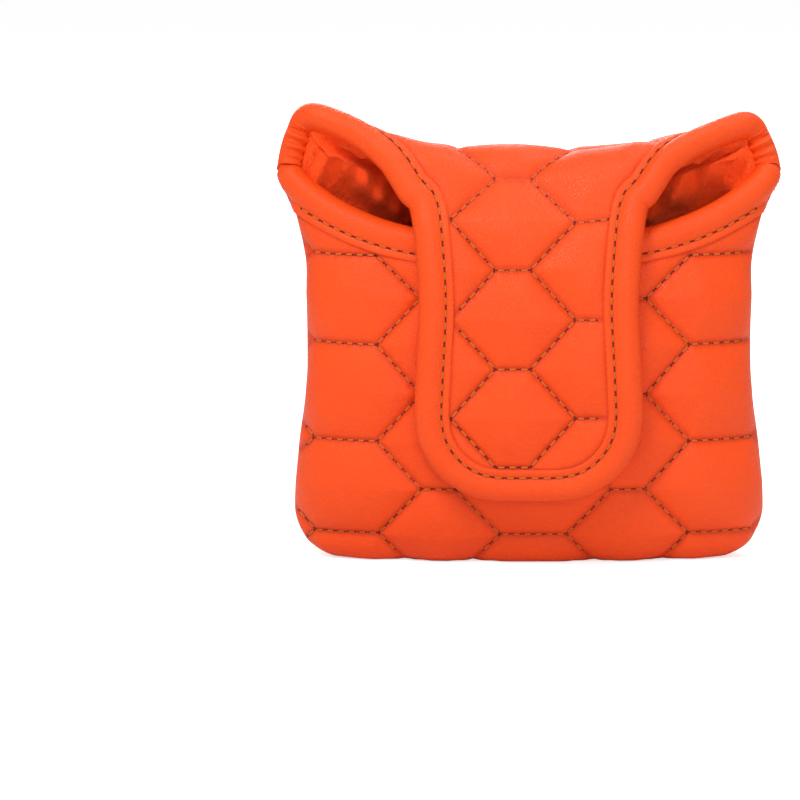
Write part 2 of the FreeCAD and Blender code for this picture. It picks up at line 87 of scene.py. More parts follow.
def through(xs, ys):
    """A curve through points as a function: a cubic between each two points, whose slope at a
    point is the harmonic mean of the slopes on both sides, or 0 where they differ in sign."""
    xs, ys = np.asarray(xs, float), np.asarray(ys, float)
    step = np.diff(xs)
    rise = np.diff(ys) / step
    product = rise[:-1] * rise[1:]
    total = np.where(product > 0, rise[:-1] + rise[1:], 1.0)
    inner = np.where(product > 0, 2 * product / total, 0.0)
    slope = np.concatenate([rise[:1], inner, rise[-1:]])

    def curve(x):
        x = np.clip(x, xs[0], xs[-1])
        i = np.clip(np.searchsorted(xs, x) - 1, 0, len(step) - 1)
        t = (x - xs[i]) / step[i]
        return (ys[i] * (1 + 2 * t) * (1 - t) ** 2 + slope[i] * step[i] * t * (1 - t) ** 2
                + ys[i + 1] * (3 - 2 * t) * t ** 2 - slope[i + 1] * step[i] * (1 - t) * t ** 2)

    return curve


half_width = through(LEVELS[:, 0], LEVELS[:, 1])
bulge = through(LEVELS[:, 0], LEVELS[:, 2])
print("waist", 2 * half_width(54.0), "mm wide,", FRONT_DEPTH + BACK_DEPTH, "mm deep")

# %% [markdown]
# ## Three surfaces that everything lies on
#
# Stitches, bindings and quilting all follow the leather. It pays to describe the leather once, as
# a function of a place on its flat pattern, and to ask that function for every point. The two
# pattern directions are `x`, sideways, and `q`, the distance up from the foot. On the band, `q`
# goes on past the top of the panel, over the hood and down the flap.

# %% The panels, the hood and the flap
HOOD_RADIUS, HOOD_TOP = 13.0, 113.9
HOOD_CENTRE = HOOD_TOP - HOOD_RADIUS
START, END = math.radians(70.0), math.radians(56.0)
HOOD_START = HOOD_CENTRE + HOOD_RADIUS * math.cos(START)
HOOD_LENGTH = HOOD_RADIUS * (START + END)
FLAP_START = HOOD_START + HOOD_LENGTH

# The flap seen from the side, from the hood's end down: (y, z).
FLAP_LINE = np.array([
    (-HOOD_RADIUS * math.sin(END), HOOD_CENTRE + HOOD_RADIUS * math.cos(END)),
    (-15.6, 101.0),
    (-21.4, 91.0),
    (-25.6, 72.0),
    (-26.9, 54.0),
    (-26.9, 38.0),
    (-26.7, 30.0),
    (-26.0, 23.2),
])
FLAP_RUN = np.concatenate([[0], np.cumsum(np.hypot(*np.diff(FLAP_LINE, axis=0).T))])
FLAP_END = FLAP_START + FLAP_RUN[-1]
flap_y = through(FLAP_START + FLAP_RUN, FLAP_LINE[:, 0])
flap_z = through(FLAP_START + FLAP_RUN, FLAP_LINE[:, 1])
print("flap from", round(FLAP_START, 1), "to", round(FLAP_END, 1), "mm along the band")

# %% [markdown]
# ## The surfaces as functions
#
# `panel` is one face of the pouch. `band` is a panel that goes on over the hood and down the
# flap, and `back` is the panel under the flap. `outward` gives the direction in which thickness
# is added to any of them.

# %% Panel, band and back
def ease(x, low, high):
    """0 below low, 1 above high, and a smooth S between them."""
    t = np.clip((x - low) / (high - low), 0, 1)
    return t * t * (3 - 2 * t)


def panel(side, x, q):
    """A face of the pouch: a superellipse at each height, bulging to +Y (side 1) or -Y (-1).
    Below q = 0 it turns in under the pouch, to the seam that the pouch stands on."""
    width = half_width(q)
    depth = (FRONT_DEPTH if side > 0 else BACK_DEPTH) * bulge(q)
    reach = np.clip(1 - np.abs(x / width) ** SECTION_POWER, 0, 1)
    under = np.clip(1 + q / 10.0, 0, 1)
    y = side * depth * reach ** (1 / SECTION_POWER) * under
    return np.stack([x + 0 * y, y, np.maximum(q, 0.0) + 0 * y], -1)


SLUMP = 2.4


def saddle(x):
    """How far the hood's crest rises above its middle: as a power of the distance sideways."""
    return 13.0 * (np.abs(x) / 58.0) ** 2.6


def band(x, q):
    """The plain panel, the hood and the flap as one surface. At each x the panel goes up to a
    height, then bends over as a circular arc, then follows the flap's line. The bend's axis is a
    saddle, so that the ears stand up at its ends."""
    start_angle = START + math.radians(20.0) * ease(np.abs(x), 20.0, 50.0)
    start = HOOD_CENTRE + saddle(x) + HOOD_RADIUS * np.cos(start_angle)
    end = start + HOOD_RADIUS * (start_angle + END)
    face = panel(1, x, np.minimum(q, start))
    shift = panel(1, x, start)[..., 1] - HOOD_RADIUS * np.sin(start_angle)
    turn = start_angle - (np.minimum(q, end) - start) / HOOD_RADIUS
    arc_y = shift + HOOD_RADIUS * np.sin(turn)
    arc_z = HOOD_CENTRE + saddle(x) + HOOD_RADIUS * np.cos(turn)
    fade = 1 - ease(q - end, 0.0, 30.0)
    run = q - (end - FLAP_START) * fade
    y = np.where(q > end, flap_y(run) + shift * fade, np.where(q > start, arc_y, face[..., 1]))
    z = np.where(q > end, flap_z(run) + saddle(x) * fade, np.where(q > start, arc_z, face[..., 2]))
    # Nothing soft is quite even: the ear on the +X side hangs a little lower.
    slump = SLUMP * ease(x, 25.0, 52.0) * ease(z, 106.0, 122.0)
    return np.stack([x + 0 * y, y, z - slump], -1)


def back(x, q):
    """The panel that faces the flap."""
    return panel(-1, x, q)


def outward(surface, x, q, towards):
    """Unit normals of a surface: the cross product of its two directions. Sideways steps are
    taken as an angle, so that they stay even where a panel turns round into its side seam."""
    width = half_width(q)
    angle = np.arcsin(np.clip(x / width, -1, 1))
    side = (surface(width * np.sin(np.clip(angle + 0.01, -math.pi / 2, math.pi / 2)), q)
            - surface(width * np.sin(np.clip(angle - 0.01, -math.pi / 2, math.pi / 2)), q))
    up = surface(x, q + 0.15) - surface(x, q - 0.15)
    normal = np.cross(up, side) * towards
    return normal / np.maximum(np.linalg.norm(normal, axis=-1, keepdims=True), 1e-9)


print("ear tip at", band(np.array([66.0]), np.array([115.0]))[0].round(1), "mm")

# %% [markdown]
# ## The edges
#
# The band's edge is one long line: from a side seam up round the ear, along the hood, down the
# flap, round its bottom and back up the other side. The same tape is sewn along all of it, so it
# is kept as one line on the flat pattern. The back panel's edge is a simple dip between the ears.

# %% Edge lines on the flat pattern
EAR_SIDE = [(68.4, 108.0), (67.7, 110.5), (66.2, 115.2), (64.2, 119.4), (61.2, 124.0),
            (57.8, 127.2)]
HOOD_SIDE = [(51.3, 128.6), (44.3, 131.6), (37.4, 136.6), (31.6, 143.4)]
FLAP_HALF, FLAP_CORNER, FLAP_BOTTOM = 27.3, 20.0, 23.2
FLAP_SIDE = [(28.4, 98.0), (26.8, 88.0), (26.0, 74.0), (26.6, 60.0), (27.2, 48.0),
             (FLAP_HALF, FLAP_BOTTOM + FLAP_CORNER)]


def flap_q(z):
    """Where on the band the flap is at a height."""
    q = np.linspace(FLAP_START, FLAP_END, 400)
    return np.interp(-np.asarray(z, float), -flap_z(q), q)


def rounded(points, count):
    """An even run of points along a smooth line: a Catmull-Rom curve, then equal steps."""
    p = np.asarray(points, float)
    p = np.vstack([2 * p[0] - p[1], p, 2 * p[-1] - p[-2]])
    t = np.linspace(0, 1, 24, endpoint=False)[:, None]
    a, b, c, d = p[:-3, None], p[1:-2, None], p[2:-1, None], p[3:, None]
    run = 0.5 * (2 * b + (c - a) * t + (2 * a - 5 * b + 4 * c - d) * t ** 2
                 + (3 * b - a - 3 * c + d) * t ** 3)
    run = np.vstack([run.reshape(-1, p.shape[1]), p[-2]])
    along = np.concatenate([[0], np.cumsum(np.linalg.norm(np.diff(run, axis=0), axis=1))])
    even = np.linspace(0, along[-1], count)
    return np.stack([np.interp(even, along, run[:, k]) for k in range(run.shape[1])], -1)


corner_angle = -np.pi / 2 * np.arange(1, 5) / 5
corner = np.stack([FLAP_HALF - FLAP_CORNER + FLAP_CORNER * np.cos(corner_angle),
                   FLAP_BOTTOM + FLAP_CORNER + FLAP_CORNER * np.sin(corner_angle)], -1)
flap_half = np.vstack([FLAP_SIDE, corner, [(7.0, FLAP_BOTTOM), (0.0, FLAP_BOTTOM)]])
flap_half[:, 1] = flap_q(flap_half[:, 1])
edge_half = np.vstack([EAR_SIDE, HOOD_SIDE, flap_half])
BAND_EDGE = rounded(np.vstack([edge_half, (edge_half * [-1, 1])[-2::-1]]), 900)


def lip_height(x):
    """The back lip dips between the ears, as a cubic of the distance from the middle."""
    return 88.5 + 18.5 * (np.abs(x) / 68.5) ** 3


lip_angle = np.linspace(-np.pi / 2, np.pi / 2, 420)
lip_x = half_width(107.0) * np.sin(lip_angle)
BACK_EDGE = rounded(np.stack([lip_x, lip_height(lip_x)], -1)[::6], 420)


def inward(line, side):
    """Unit directions on the flat pattern, at right angles to a line: left of it if side is 1."""
    step = np.gradient(line, axis=0)
    step /= np.linalg.norm(step, axis=1, keepdims=True)
    return side * np.stack([-step[:, 1], step[:, 0]], -1)


# The layers stop short of the binding's middle, to leave room for its filler cord.
SETBACK = 2.2
BAND_IN, BACK_IN = inward(BAND_EDGE, 1), inward(BACK_EDGE, -1)
print("band edge", len(BAND_EDGE), "points; back edge", len(BACK_EDGE), "points")

# %% [markdown]
# ## Quilting
#
# Rows of stitches pull the leather down through the foam, and the foam pushes it up between
# them. A real pillow shape could be simulated, but the cells are small and stuffed evenly, so a
# height that depends only on the distance to the nearest seam gives the same look, and it keeps
# every cell exactly on its pattern. The pattern is a grid of six-sided cells.

# %% The pattern of seams
PERIOD, NARROW, WIDE, SLANT = 26.8, 4.7, 9.1, 12.2


def hexagons(shift, first, rows):
    """Seams as rows of (x, q, x, q): short level ones, long level ones, and slanting ones."""
    column = NARROW + SLANT + WIDE
    made = []
    for k in range(-2, 3):
        x = shift + 2 * column * k
        for q in first + PERIOD * np.arange(-1, rows):
            up = q + PERIOD / 2
            made.append((x - NARROW, q, x + NARROW, q))
            made.append((x + column - WIDE, up, x + column + WIDE, up))
            for way in (1, -1):
                made.append((x + way * NARROW, q, x + way * (NARROW + SLANT), up))
                made.append((x + way * NARROW, q, x + way * (NARROW + SLANT), up - PERIOD))
    return np.array(made)


BAND_SEAMS = hexagons(-4.3, 1.6, 10)
BACK_SEAMS = hexagons(27.2, -5.2, 6)
BACK_SEAMS[:, 1::2] -= 2.6 * ease(BACK_SEAMS[:, 1::2], 70.0, 86.0)  # the top rows sit lower


def nearest(seams, x, q):
    """Distance from points to the nearest seam, and how far along that seam the spot is."""
    best, along = np.full(x.shape, 99.0), np.zeros(x.shape)
    for xa, qa, xb, qb in seams:
        long = math.hypot(xb - xa, qb - qa)
        t = np.clip(((x - xa) * (xb - xa) + (q - qa) * (qb - qa)) / long ** 2, 0, 1)
        gap = np.hypot(x - xa - t * (xb - xa), q - qa - t * (qb - qa))
        closer = gap < best
        best, along = np.where(closer, gap, best), np.where(closer, t * long, along)
    return best, along


def to_line(line, x, q):
    """Distance from points to a line of closely spaced points on the flat pattern."""
    best = np.full(x.shape, 99.0)
    for px, pq in line[::3]:
        best = np.minimum(best, np.hypot(x - px, q - pq))
    return best


print(len(BAND_SEAMS), "seams on the band,", len(BACK_SEAMS), "on the back")

# %% [markdown]
# ## Height of the quilted leather
#
# Everything that the seams do to the leather is a height over its mean surface: a wall and a dome
# in each cell, a pinch at each stitch hole, and a slow unevenness. The heights just add up, which
# keeps each effect easy to weigh against the others.

# %% Quilting as a height
PITCH = 3.3                        # from one stitch to the next
WALL, DOME, SUNK = 1.25, 1.5, 1.0  # the steep and the broad rise, and how deep the seams lie
# Distances from a panel's edge: the tape's inner edge, and where quilting and stitches begin.
TAPE_EDGE, QUILT_FROM, STITCH_FROM = 5.9, 5.3, 5.6


# Painted shade: this weight darkens the leather's colour down in the seams and along the tape's
# edge.
def shade(seams, edge, x, q):
    """1 down in the seams and along the tape's edge, fading to 0 within a millimetre or two."""
    gap = nearest(seams, x, q)[0]
    tape = np.abs(to_line(edge, x, q) - TAPE_EDGE)
    return np.maximum(np.exp(-(gap / 0.9) ** 2), 0.8 * np.exp(-(tape / 0.7) ** 2))


def quilt(seams, edge, x, q):
    """Height of the leather over its mean surface. With d the distance to the nearest seam, it is
    a steep wall, 1 - exp(-d / 1.8), and a broad dome, 1 - exp(-(d / 7)^2). Both fade out at the
    edges, and each hole of the stitching has a small dimple."""
    gap, along = nearest(seams, x, q)
    to_side = np.maximum(half_width(q) - np.abs(x), 0) * 2.2 + np.where(q > 130, 99, 0)
    to_edge = np.maximum(to_line(edge, x, q) - QUILT_FROM, 0)
    free = np.minimum(np.minimum(to_side, to_edge * 1.2), np.maximum(q, 0) * 1.2 + 1.5)
    room = 1 - np.exp(-free / 2.5)
    rise = WALL * (1 - np.exp(-gap / 1.8)) + DOME * (1 - np.exp(-(gap / 7.0) ** 2)) - SUNK
    holes = 0.5 + 0.5 * np.cos(2 * np.pi * along / PITCH)
    pinch = 0.2 * np.exp(-(gap / 0.8) ** 2) * (0.5 + holes)
    pucker = 0.08 * np.exp(-gap / 1.8) * np.cos(2 * np.pi * along / PITCH) * (gap / (gap + 0.8))
    soft = 0.2 * np.sin(x / 7.1 + 1.3 * np.sin(q / 11.3)) * np.sin(q / 8.3 + np.sin(x / 9.7))
    return (rise - pinch - pucker + soft * (1 - np.exp(-gap / 4))) * room


def pressed(x, q):
    """1 where the closed flap lies on the back panel, 0 away from it."""
    return (1 - ease(np.abs(x), 26.0, 33.0)) * ease(q, 16.0, 26.0)


print("the middle of a wide cell stands about", WALL + DOME - SUNK, "mm over the mean surface")

# %% [markdown]
# ## From grids to meshes
#
# A sheet is a grid of points. Two sheets at different depths, joined round their edges, make the
# closed slab that a layer of leather, foam or fleece is. `add_mesh` is the only place where a
# mesh is handed to Blender: it scales to metres and shades the faces smoothly.

# %% Sheets, slabs and meshes
collection = bpy.context.scene.collection


def add_mesh(name, points, faces, material=None, uv=None):
    """A Blender object from points in millimetres and faces as rows of indices."""
    mesh = bpy.data.meshes.new(name)
    mesh.from_pydata((np.asarray(points) / 1000).tolist(), [], np.asarray(faces).tolist())
    mesh.shade_smooth()
    if uv is not None:
        layer = mesh.uv_layers.new(name="UVMap")
        corners = np.zeros(len(mesh.loops), int)
        mesh.loops.foreach_get("vertex_index", corners)
        layer.data.foreach_set("uv", np.asarray(uv, np.float32)[corners].ravel())
    made = bpy.data.objects.new(name, mesh)
    collection.objects.link(made)
    if material:
        mesh.materials.append(material)
    print(f"{name}: {len(mesh.vertices)} points, {len(mesh.polygons)} faces")
    return made


def grid_faces(index):
    """Four-sided faces between neighbours of a grid of point numbers."""
    return np.stack([index[:-1, :-1], index[:-1, 1:], index[1:, 1:], index[1:, :-1]], -1
                    ).reshape(-1, 4)


def rim_of(faces):
    """Edges that only one face has, in the direction that face goes round."""
    edges = np.vstack([faces[:, [k, (k + 1) % 4]] for k in range(4)])
    key = np.sort(edges, axis=1)
    _, first, count = np.unique(key, axis=0, return_index=True, return_counts=True)
    return edges[first[count == 1]]


def slab(name, faces, outer, inner, material):
    """Two copies of a sheet, the inner one turned round, joined along the sheet's rim."""
    n = len(outer)
    rim = rim_of(faces)
    walls = np.stack([rim[:, 1], rim[:, 0], rim[:, 0] + n, rim[:, 1] + n], -1)
    whole = np.vstack([faces, faces[:, ::-1] + n, walls])
    return add_mesh(name, np.vstack([outer, inner]), whole, material)


# %% [markdown]
# ## The band as one sheet of places
#
# The panel with its ears is nearly square, and the hood and flap are a narrow tongue on top of
# it. One grid over both would be pulled out of shape, so there are two, which share the row of
# points where they meet. The tongue's rows follow the edge line, and so do the ears' tops.

# %% Places of the band and the back
half_way = len(BAND_EDGE) // 2
sheet_edge = (BAND_EDGE + SETBACK * BAND_IN)[:half_way + 1]
at_join = np.argmin(np.hypot(*(BAND_EDGE[:half_way] - HOOD_SIDE[0]).T))
JOIN_X, JOIN_Q = sheet_edge[at_join]
ear_part = sheet_edge[:at_join + 1][::-4]
ear_angle = np.arcsin(np.clip(ear_part[:, 0] / half_width(ear_part[:, 1]), -1, 1))
keep = np.concatenate([[True], np.diff(np.maximum.accumulate(ear_angle)) > 1e-4])
ear_top = through(ear_angle[keep], ear_part[keep, 1])
tongue_x = sheet_edge[at_join:, 0]
tongue_q = np.maximum.accumulate(sheet_edge[at_join:, 1]) + 1e-6 * np.arange(len(tongue_x))
TONGUE_END = sheet_edge[-1, 1]


def tongue_width(q):
    """Half width of the hood and flap on the flat pattern."""
    return np.interp(q, tongue_q, tongue_x)


def band_places(spacing):
    """Flat-pattern places (x, q) of the band's sheet, and its faces."""
    angle = np.linspace(np.pi / 2, -np.pi / 2, int(150 / spacing))
    middle = 112.0 + (JOIN_Q - 112) * ease(np.abs(half_width(115.0) * np.sin(angle)), 20, JOIN_X)
    reach = np.arcsin(JOIN_X / half_width(JOIN_Q))
    top = np.where(np.abs(angle) < reach, middle, ear_top(np.abs(angle)))
    q = np.linspace(-10, 0, 9)[:, None] + 0 * top
    q = np.vstack([q, np.linspace(0, 1, int(128 / spacing))[1:, None] * top])
    x = half_width(q) * np.sin(angle)
    index = np.arange(x.size).reshape(x.shape)
    inside = np.where(np.abs(x[-1]) < JOIN_X)[0]
    more = np.sin(np.linspace(0, np.pi / 2, int(118 / spacing)))[1:]
    run = JOIN_Q + (TONGUE_END - JOIN_Q) * more
    xt = tongue_width(run)[:, None] * (x[-1, inside] / JOIN_X)
    qt = run[:, None] + (q[-1, inside] - JOIN_Q) * (1 - ease(run, JOIN_Q, JOIN_Q + 24))[:, None]
    tongue = np.vstack([index[-1, inside][None], x.size + np.arange(xt.size).reshape(xt.shape)])
    return (np.concatenate([x.ravel(), xt.ravel()]), np.concatenate([q.ravel(), qt.ravel()]),
            np.vstack([grid_faces(index), grid_faces(tongue)]))


def back_places(spacing):
    """Flat-pattern places (x, q) of the back panel's sheet, and its faces."""
    angle = np.linspace(-np.pi / 2, np.pi / 2, int(150 / spacing))
    top = lip_height(half_width(100.0) * np.sin(angle)) - SETBACK
    q = np.linspace(-10, 0, 9)[:, None] + 0 * top
    q = np.vstack([q, np.linspace(0, 1, int(104 / spacing))[1:, None] * top])
    x = half_width(q) * np.sin(angle)
    return x.ravel(), q.ravel(), grid_faces(np.arange(x.size).reshape(x.shape))


SPACING = 0.62
band_x, band_q, band_faces = band_places(SPACING)
back_x, back_q, back_faces = back_places(SPACING)
print(len(band_x), "places on the band,", len(back_x), "on the back")

# %% [markdown]
# ## Colours and finishes
#
# Leather is a plastic-like coat with a fine pebble grain: cells 0.7 to 0.8 mm across that only
# show in grazing light. The grain is a node group, because the panels and the binding
# both have it, in different strengths. The thread's ends are painted dark, as painted shade of the
# holes it dives into; it reads where a point is along the stitch from its own UV map: U runs from
# 0 to 1 along each stitch.

# %% Node groups
def socket(group, name, kind, way, value=None):
    """Adds an input or output socket to a node group."""
    made = group.interface.new_socket(name=name, in_out=way, socket_type=kind)
    if value is not None:
        made.default_value = value


def node(tree, kind, **settings):
    """A node with its settings; a setting named after an input socket sets that socket."""
    made = tree.nodes.new(kind)
    for key, value in settings.items():
        if hasattr(made, key):
            setattr(made, key, value)
        else:
            made.inputs[key.replace("_", " ")].default_value = value
    return made


def grain_group():
    """Leather grain: height from the distance to Voronoi cell borders over a soft noise, and a
    mask that is 1 on the pebbles and 0 in the lines between them."""
    group = bpy.data.node_groups.new("leather_grain", "ShaderNodeTree")
    socket(group, "Vector", "NodeSocketVector", "INPUT")
    socket(group, "Cells per metre", "NodeSocketFloat", "INPUT", 1500.0)
    socket(group, "Height", "NodeSocketFloat", "OUTPUT")
    socket(group, "Pebble", "NodeSocketFloat", "OUTPUT")
    socket(group, "Patch", "NodeSocketFloat", "OUTPUT")
    start, end = group.nodes.new("NodeGroupInput"), group.nodes.new("NodeGroupOutput")
    link = group.links.new
    cells = node(group, "ShaderNodeTexVoronoi", feature="DISTANCE_TO_EDGE", Randomness=1.0)
    rough = node(group, "ShaderNodeTexNoise", Detail=3.0, Roughness=0.6)
    patch = node(group, "ShaderNodeTexNoise", Scale=38.0, Detail=2.0)
    ramp = node(group, "ShaderNodeMapRange", interpolation_type="SMOOTHSTEP", From_Max=0.22)
    half = node(group, "ShaderNodeMath", operation="MULTIPLY")
    half.inputs[1].default_value = 0.6
    total = node(group, "ShaderNodeMath", operation="ADD")
    for texture in (cells, rough, patch):
        link(start.outputs["Vector"], texture.inputs["Vector"])
    for texture in (cells, rough):
        link(start.outputs["Cells per metre"], texture.inputs["Scale"])
    link(cells.outputs["Distance"], ramp.inputs["Value"])
    link(rough.outputs["Fac"], half.inputs[0])
    link(ramp.outputs["Result"], total.inputs[0])
    link(half.outputs[0], total.inputs[1])
    link(total.outputs[0], end.inputs["Height"])
    link(ramp.outputs["Result"], end.inputs["Pebble"])
    link(patch.outputs["Fac"], end.inputs["Patch"])
    return group


GRAIN = grain_group()
print(GRAIN.name, "with", len(GRAIN.nodes), "nodes")

# %% [markdown]
# ## Leather
#
# Panels and tape are the same hide, but the tape is stretched thin over its cord, so its grain is
# finer and flatter. Shade is painted into the leather's colour down in the seams and along the
# tape's inner edge. The mesh says where that is, in a point attribute.

# %% Materials, and the two leathers
def between(tree, fac, low, high):
    """A colour between two, mixed by a socket from 0 to 1."""
    mix = node(tree, "ShaderNodeMix", data_type="RGBA")
    mix.inputs[6].default_value = (*low, 1)
    mix.inputs[7].default_value = (*high, 1)
    tree.links.new(fac, mix.inputs["Factor"])
    return mix.outputs[2]


def material(name, **sockets):
    """A material with a Principled BSDF whose sockets have constant values."""
    made = bpy.data.materials.new(name)
    made.use_nodes = True
    shader = made.node_tree.nodes["Principled BSDF"]
    for key, value in sockets.items():
        shader.inputs[key.replace("_", " ")].default_value = value
    return made, made.node_tree, shader


def plain_material(name, colour, **sockets):
    """A material of one even colour."""
    made, _, shader = material(name, **sockets)
    shader.inputs["Base Color"].default_value = (*colour, 1)
    return made


def leather(name, deep, light, cells, bump):
    """Grained leather: colour and roughness follow the grain and large soft patches, and shade is
    painted into the colour down in the seams.
    """
    made, tree, shader = material(name, Specular_IOR_Level=0.26)
    place = node(tree, "ShaderNodeTexCoord")
    grain = node(tree, "ShaderNodeGroup", node_tree=GRAIN)
    grain.inputs["Cells per metre"].default_value = cells
    link = tree.links.new
    link(place.outputs["Object"], grain.inputs["Vector"])
    seam_shade = node(tree, "ShaderNodeAttribute", attribute_name="seam_shade")
    colour = between(tree, grain.outputs["Patch"], deep, light)
    # Painted shade: the seams and the tape's edge are mixed up to halfway towards a deep red.
    dark = node(tree, "ShaderNodeMix", data_type="RGBA")
    dark.inputs[7].default_value = (0.42, 0.012, 0.001, 1)
    part = node(tree, "ShaderNodeMath", operation="MULTIPLY")
    part.inputs[1].default_value = 0.5
    link(seam_shade.outputs["Fac"], part.inputs[0])
    link(part.outputs[0], dark.inputs["Factor"])
    link(colour, dark.inputs[6])
    link(dark.outputs[2], shader.inputs["Base Color"])
    rough = node(tree, "ShaderNodeMapRange", To_Min=0.56, To_Max=0.42)
    link(grain.outputs["Pebble"], rough.inputs["Value"])
    link(rough.outputs["Result"], shader.inputs["Roughness"])
    relief = node(tree, "ShaderNodeBump", Strength=bump, Distance=0.00016)
    link(grain.outputs["Height"], relief.inputs["Height"])
    link(relief.outputs["Normal"], shader.inputs["Normal"])
    return made


PANEL_LEATHER = leather("panel_leather", (0.82, 0.060, 0.0030), (0.89, 0.078, 0.0045), 1250.0, 0.5)
TAPE_LEATHER = leather("tape_leather", (0.82, 0.062, 0.0030), (0.89, 0.080, 0.0045), 1400.0, 0.45)
print(PANEL_LEATHER.name, "and", TAPE_LEATHER.name)

# %% [markdown]
# ## Fleece and thread
#
# Plush is matt from the front and bright at grazing angles, which is what sheen is for. The
# thread's colour, with painted shade of the needle holes at its ends, is a matter of where on the
# stitch a point is, so it reads U and nothing else.

# %% The other materials
def fleece_material():
    """Plush: short bright fibres with a strong sheen over a darker ground."""
    made, tree, shader = material("fleece", Roughness=0.95, Sheen_Weight=0.6,
                                  Sheen_Roughness=0.45, Specular_IOR_Level=0.15)
    shader.inputs["Sheen Tint"].default_value = (1.0, 0.30, 0.10, 1)
    place = node(tree, "ShaderNodeTexCoord")
    fibres = node(tree, "ShaderNodeTexNoise", Scale=900.0, Detail=4.0, Roughness=0.75)
    clumps = node(tree, "ShaderNodeTexNoise", Scale=160.0, Detail=2.0)
    link = tree.links.new
    link(place.outputs["Object"], fibres.inputs["Vector"])
    link(place.outputs["Object"], clumps.inputs["Vector"])
    link(between(tree, fibres.outputs["Fac"], (0.97, 0.036, 0.004), (1.0, 0.125, 0.020)),
         shader.inputs["Base Color"])
    total = node(tree, "ShaderNodeMath", operation="ADD")
    link(fibres.outputs["Fac"], total.inputs[0])
    link(clumps.outputs["Fac"], total.inputs[1])
    relief = node(tree, "ShaderNodeBump", Strength=0.8, Distance=0.0006)
    link(total.outputs[0], relief.inputs["Height"])
    link(relief.outputs["Normal"], shader.inputs["Normal"])
    return made


def thread_material():
    """Thread: tan in the middle of each stitch, with painted shade of the needle hole at each end.
    """
    made, tree, shader = material("thread", Roughness=0.6, Specular_IOR_Level=0.3)
    along = node(tree, "ShaderNodeUVMap", uv_map="UVMap")
    split = node(tree, "ShaderNodeSeparateXYZ")
    ramp = node(tree, "ShaderNodeMapRange", interpolation_type="SMOOTHSTEP", From_Min=0.22,
                From_Max=0.34, To_Min=1.0, To_Max=0.0)
    away = node(tree, "ShaderNodeMath", operation="SUBTRACT")
    away.inputs[1].default_value = 0.5
    size = node(tree, "ShaderNodeMath", operation="ABSOLUTE")
    link = tree.links.new
    link(along.outputs["UV"], split.inputs[0])
    link(split.outputs["X"], away.inputs[0])
    link(away.outputs[0], size.inputs[0])
    link(size.outputs[0], ramp.inputs["Value"])
    # Painted shade: each stitch's ends are near black, standing for the shade down in the needle
    # holes.
    link(between(tree, ramp.outputs["Result"], (0.15, 0.006, 0.001), (0.58, 0.115, 0.012)),
         shader.inputs["Base Color"])
    return made


FLEECE_PILE = fleece_material()
THREAD = thread_material()
FOAM_WHITE = plain_material("foam", (0.8, 0.74, 0.6), Roughness=0.9)
CORD_COTTON = material("cotton_cord", Roughness=0.9)[0]
print(len(bpy.data.materials), "materials")

# %% [markdown]
# ## Leather, foam and fleece
#
# Each layer is the same sheet of places, lifted along the surface's normals by its own heights.
# The foam follows half of the quilting, because it is squeezed at the seams, and the fleece
# almost none. The fleece gets a small random height at every point, from a seeded generator:
# together with the bump in its material that breaks up the smooth surface into pile.

# %% The layers
chance = np.random.default_rng(7)


def band_skin(x, q):
    """Height of the band's leather at places."""
    return quilt(BAND_SEAMS, BAND_EDGE, x, q)


def back_skin(x, q):
    """Height of the back panel's leather at places."""
    height = quilt(BACK_SEAMS, BACK_EDGE, x, q)
    return height - pressed(x, q) * np.maximum(height - 0.2, 0) * 0.75


FOLD_FOOT, FOLD_RUN = (34, 99), (22, 15)  # the ear's fold on the flat pattern: foot, and reach


def swell(edge, x, q):
    """The fleece puffs up where nothing presses on it, just inside the mouth: two bumps that
    fade with the distance to the edge, folded in soft waves along it, and one fold that slants
    up into each ear."""
    away = to_line(edge, x, q)
    open_part = ease(np.abs(x), 30, 40) * (q > 60)
    waves = 1 + 0.25 * np.sin(x / 2.3 + q / 3.1) + 0.15 * np.sin(x / 1.1 - q / 1.7)
    across, up = np.abs(x) - FOLD_FOOT[0], q - FOLD_FOOT[1]
    run_x, run_q = FOLD_RUN
    along = np.clip((across * run_x + up * run_q) / (run_x ** 2 + run_q ** 2), 0, 1)
    fold = np.exp(-(np.hypot(across - run_x * along, up - run_q * along) / 5.0) ** 2)
    return (2.6 * open_part * np.exp(-((away - 7.5) / 5.5) ** 2) + 5.0 * fold) * waves


def layers(name, surface, towards, places, quilted, edge, materials):
    """Slabs of one panel: {layer: object}, each between two heights under the leather."""
    x, q, faces = places
    points = surface(x, q)
    normals = outward(surface, x, q, towards)
    made = {}
    for layer, (near, far), finish in zip(("leather", "foam", "fleece"), DEPTHS, materials):
        outer = points + normals * (quilted * near[1] - near[0])[:, None]
        inner = points + normals * (quilted * far[1] - far[0])[:, None]
        if layer == "fleece":
            pile = chance.uniform(0, 0.5, len(x)) + swell(edge, x, q)
            inner -= normals * pile[:, None]
        outer[:, 2] = np.maximum(outer[:, 2], 0.02)
        made[layer] = slab(f"{name}_{layer}", faces, outer, inner, finish)
    return made


DEPTHS = [((0.0, 1.0), (LEATHER, 1.0)),
          ((LEATHER + 0.05, 1.0), (LEATHER + FOAM, 0.35)),
          ((LEATHER + FOAM + 0.05, 0.35), (SANDWICH, 0.2))]
FINISHES = (PANEL_LEATHER, FOAM_WHITE, FLEECE_PILE)
band_height = band_skin(band_x, band_q)
back_height = back_skin(back_x, back_q)
cover = layers("band", band, 1, (band_x, band_q, band_faces), band_height, BAND_EDGE,
               FINISHES)
rear = layers("back", back, -1, (back_x, back_q, back_faces), back_height, BACK_EDGE,
              FINISHES)

